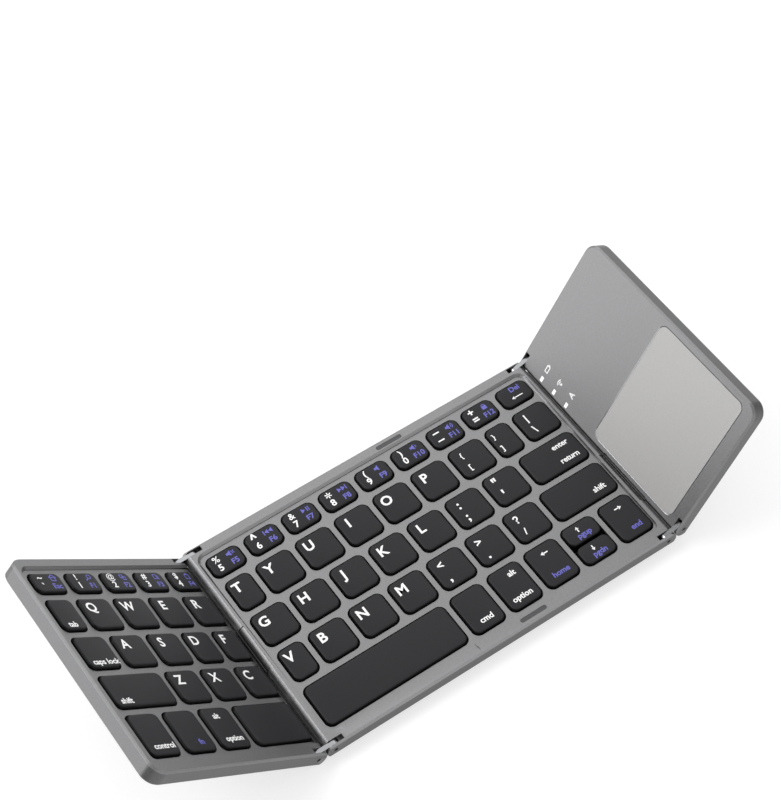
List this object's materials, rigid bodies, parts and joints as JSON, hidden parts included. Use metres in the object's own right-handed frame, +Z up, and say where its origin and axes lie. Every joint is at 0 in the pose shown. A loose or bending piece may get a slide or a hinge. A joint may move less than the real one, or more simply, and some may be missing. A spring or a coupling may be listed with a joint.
{
  "type": "folding keyboard",
  "caption": "Tri-fold pocket keyboard: a flat middle key panel, a narrower key wing and a touchpad wing, each on a double-pivot link hinge.",
  "frame": {"origin": "middle of the middle panel, on the plane of its rubber feet", "axes": "+Z up out of the middle panel, +X to the right along the row of panels, +Y to the back row of keys"},
  "size_m": [0.2613, 0.0984, 0.0637],
  "materials": {
    "casing_top": "bead-blasted, grey anodised",
    "casing_base": "satin, grey anodised",
    "keycap": "fine matte texture",
    "key_guide": "natural moulded",
    "circuit_film": "printed film",
    "plate_steel": "cold rolled",
    "link_chrome": "polished",
    "foot_rubber": "matte",
    "touchpad_glass": "satin coated",
    "circuit_board": "solder resist",
    "cell_foil": "foil pouch",
    "light_lens": "diffusing",
    "dark_insert": "satin moulded"
  },
  "bodies": {
    "middle_panel": {"center_top_frame": "casing_top", "center_bottom_cover": "casing_base", "center_key_plate": "plate_steel", "center_key_membrane": "circuit_film", "center_key_supports": "key_guide", "rim_pads": "dark_insert", "rim_magnets": "plate_steel", "center_screws": "plate_steel", "center_feet": "foot_rubber", "center_hinge_pins": "plate_steel"},
    "left_link": {"left_hinge_links": "link_chrome", "left_flex_cable": "dark_insert"},
    "right_link": {"right_hinge_links": "link_chrome", "right_flex_cable": "dark_insert"},
    "left_wing": {"left_top_frame": "casing_top", "left_bottom_cover": "casing_base", "left_key_plate": "plate_steel", "left_key_membrane": "circuit_film", "left_key_supports": "key_guide", "left_screws": "plate_steel", "left_feet": "foot_rubber", "left_hinge_pins": "plate_steel"},
    "right_wing": {"right_top_cover": "casing_top", "right_bottom_cover": "casing_base", "touchpad": "touchpad_glass", "touchpad_board": "circuit_board", "main_board": "circuit_board", "battery": "cell_foil", "charging_port": "plate_steel", "indicator_lenses": "light_lens", "right_screws": "plate_steel", "right_feet": "foot_rubber", "right_hinge_pins": "plate_steel"},
    "keys_number_left": {"keys_number_left": "keycap"},
    "keys_number_center": {"keys_number_center": "keycap"},
    "keys_upper_left": {"keys_upper_left": "keycap"},
    "keys_upper_center": {"keys_upper_center": "keycap"},
    "keys_home_left": {"keys_home_left": "keycap"},
    "keys_home_center": {"keys_home_center": "keycap"},
    "keys_lower_left": {"keys_lower_left": "keycap"},
    "keys_lower_center": {"keys_lower_center": "keycap"},
    "key_tab": {"key_tab": "keycap"},
    "key_caps_lock": {"key_caps_lock": "keycap"},
    "key_shift_left": {"key_shift_left": "keycap"},
    "key_space_left": {"key_space_left": "keycap"},
    "key_alt_left": {"key_alt_left": "keycap"},
    "key_fn": {"key_fn": "keycap"},
    "key_control": {"key_control": "keycap"},
    "key_backslash": {"key_backslash": "keycap"},
    "key_enter": {"key_enter": "keycap"},
    "key_shift_right": {"key_shift_right": "keycap"},
    "key_space_right": {"key_space_right": "keycap"},
    "key_modifier": {"key_modifier": "keycap"},
    "key_alt_right": {"key_alt_right": "keycap"},
    "key_arrow_left": {"key_arrow_left": "keycap"},
    "key_arrow_up": {"key_arrow_up": "keycap"},
    "key_arrow_down": {"key_arrow_down": "keycap"},
    "key_arrow_right": {"key_arrow_right": "keycap"}
  },
  "joints": [
    {"name": "left_inner_hinge", "type": "hinge", "parent": "middle_panel", "child": "left_link", "pos_m": [-0.0753, 0, 0.0041], "axis": [0, 1, 0], "range_deg": [0, 90]},
    {"name": "left_outer_hinge", "type": "hinge", "parent": "left_link", "child": "left_wing", "pos_m": [-0.0826, 0, 0.0041], "axis": [0, 1, 0], "range_deg": [-42.9, 47.1]},
    {"name": "right_inner_hinge", "type": "hinge", "parent": "middle_panel", "child": "right_link", "pos_m": [0.0753, 0, 0.0041], "axis": [0, -1, 0], "range_deg": [-18.1, 71.9]},
    {"name": "right_outer_hinge", "type": "hinge", "parent": "right_link", "child": "right_wing", "pos_m": [0.08224, 0, 0.00637], "axis": [0, -1, 0], "range_deg": [-41.8, 48.2]},
    {"name": "keys_number_left_press", "type": "slide", "parent": "left_wing", "child": "keys_number_left", "axis": [-0.6807, 0, -0.7325], "range_m": [0, 0.0012], "stiffness_N_per_m": 400, "springref_m": -0.0012},
    {"name": "keys_number_center_press", "type": "slide", "parent": "middle_panel", "child": "keys_number_center", "axis": [0, 0, -1], "range_m": [0, 0.0012], "stiffness_N_per_m": 400, "springref_m": -0.0012},
    {"name": "keys_upper_left_press", "type": "slide", "parent": "left_wing", "child": "keys_upper_left", "axis": [-0.6807, 0, -0.7325], "range_m": [0, 0.0012], "stiffness_N_per_m": 400, "springref_m": -0.0012},
    {"name": "keys_upper_center_press", "type": "slide", "parent": "middle_panel", "child": "keys_upper_center", "axis": [0, 0, -1], "range_m": [0, 0.0012], "stiffness_N_per_m": 400, "springref_m": -0.0012},
    {"name": "keys_home_left_press", "type": "slide", "parent": "left_wing", "child": "keys_home_left", "axis": [-0.6807, 0, -0.7325], "range_m": [0, 0.0012], "stiffness_N_per_m": 400, "springref_m": -0.0012},
    {"name": "keys_home_center_press", "type": "slide", "parent": "middle_panel", "child": "keys_home_center", "axis": [0, 0, -1], "range_m": [0, 0.0012], "stiffness_N_per_m": 400, "springref_m": -0.0012},
    {"name": "keys_lower_left_press", "type": "slide", "parent": "left_wing", "child": "keys_lower_left", "axis": [-0.6807, 0, -0.7325], "range_m": [0, 0.0012], "stiffness_N_per_m": 400, "springref_m": -0.0012},
    {"name": "keys_lower_center_press", "type": "slide", "parent": "middle_panel", "child": "keys_lower_center", "axis": [0, 0, -1], "range_m": [0, 0.0012], "stiffness_N_per_m": 400, "springref_m": -0.0012},
    {"name": "key_tab_press", "type": "slide", "parent": "left_wing", "child": "key_tab", "axis": [-0.6807, 0, -0.7325], "range_m": [0, 0.0012], "stiffness_N_per_m": 160, "springref_m": -0.0012},
    {"name": "key_caps_lock_press", "type": "slide", "parent": "left_wing", "child": "key_caps_lock", "axis": [-0.6807, 0, -0.7325], "range_m": [0, 0.0012], "stiffness_N_per_m": 160, "springref_m": -0.0012},
    {"name": "key_shift_left_press", "type": "slide", "parent": "left_wing", "child": "key_shift_left", "axis": [-0.6807, 0, -0.7325], "range_m": [0, 0.0012], "stiffness_N_per_m": 160, "springref_m": -0.0012},
    {"name": "key_space_left_press", "type": "slide", "parent": "left_wing", "child": "key_space_left", "axis": [-0.6807, 0, -0.7325], "range_m": [0, 0.0012], "stiffness_N_per_m": 160, "springref_m": -0.0012},
    {"name": "key_alt_left_press", "type": "slide", "parent": "left_wing", "child": "key_alt_left", "axis": [-0.6807, 0, -0.7325], "range_m": [0, 0.0012], "stiffness_N_per_m": 160, "springref_m": -0.0012},
    {"name": "key_fn_press", "type": "slide", "parent": "left_wing", "child": "key_fn", "axis": [-0.6807, 0, -0.7325], "range_m": [0, 0.0012], "stiffness_N_per_m": 160, "springref_m": -0.0012},
    {"name": "key_control_press", "type": "slide", "parent": "left_wing", "child": "key_control", "axis": [-0.6807, 0, -0.7325], "range_m": [0, 0.0012], "stiffness_N_per_m": 160, "springref_m": -0.0012},
    {"name": "key_backslash_press", "type": "slide", "parent": "middle_panel", "child": "key_backslash", "axis": [0, 0, -1], "range_m": [0, 0.0012], "stiffness_N_per_m": 160, "springref_m": -0.0012},
    {"name": "key_enter_press", "type": "slide", "parent": "middle_panel", "child": "key_enter", "axis": [0, 0, -1], "range_m": [0, 0.0012], "stiffness_N_per_m": 160, "springref_m": -0.0012},
    {"name": "key_shift_right_press", "type": "slide", "parent": "middle_panel", "child": "key_shift_right", "axis": [0, 0, -1], "range_m": [0, 0.0012], "stiffness_N_per_m": 160, "springref_m": -0.0012},
    {"name": "key_space_right_press", "type": "slide", "parent": "middle_panel", "child": "key_space_right", "axis": [0, 0, -1], "range_m": [0, 0.0012], "stiffness_N_per_m": 160, "springref_m": -0.0012},
    {"name": "key_modifier_press", "type": "slide", "parent": "middle_panel", "child": "key_modifier", "axis": [0, 0, -1], "range_m": [0, 0.0012], "stiffness_N_per_m": 160, "springref_m": -0.0012},
    {"name": "key_alt_right_press", "type": "slide", "parent": "middle_panel", "child": "key_alt_right", "axis": [0, 0, -1], "range_m": [0, 0.0012], "stiffness_N_per_m": 160, "springref_m": -0.0012},
    {"name": "key_arrow_left_press", "type": "slide", "parent": "middle_panel", "child": "key_arrow_left", "axis": [0, 0, -1], "range_m": [0, 0.0012], "stiffness_N_per_m": 160, "springref_m": -0.0012},
    {"name": "key_arrow_up_press", "type": "slide", "parent": "middle_panel", "child": "key_arrow_up", "axis": [0, 0, -1], "range_m": [0, 0.0012], "stiffness_N_per_m": 160, "springref_m": -0.0012},
    {"name": "key_arrow_down_press", "type": "slide", "parent": "middle_panel", "child": "key_arrow_down", "axis": [0, 0, -1], "range_m": [0, 0.0012], "stiffness_N_per_m": 160, "springref_m": -0.0012},
    {"name": "key_arrow_right_press", "type": "slide", "parent": "middle_panel", "child": "key_arrow_right", "axis": [0, 0, -1], "range_m": [0, 0.0012], "stiffness_N_per_m": 160, "springref_m": -0.0012}
  ]
}
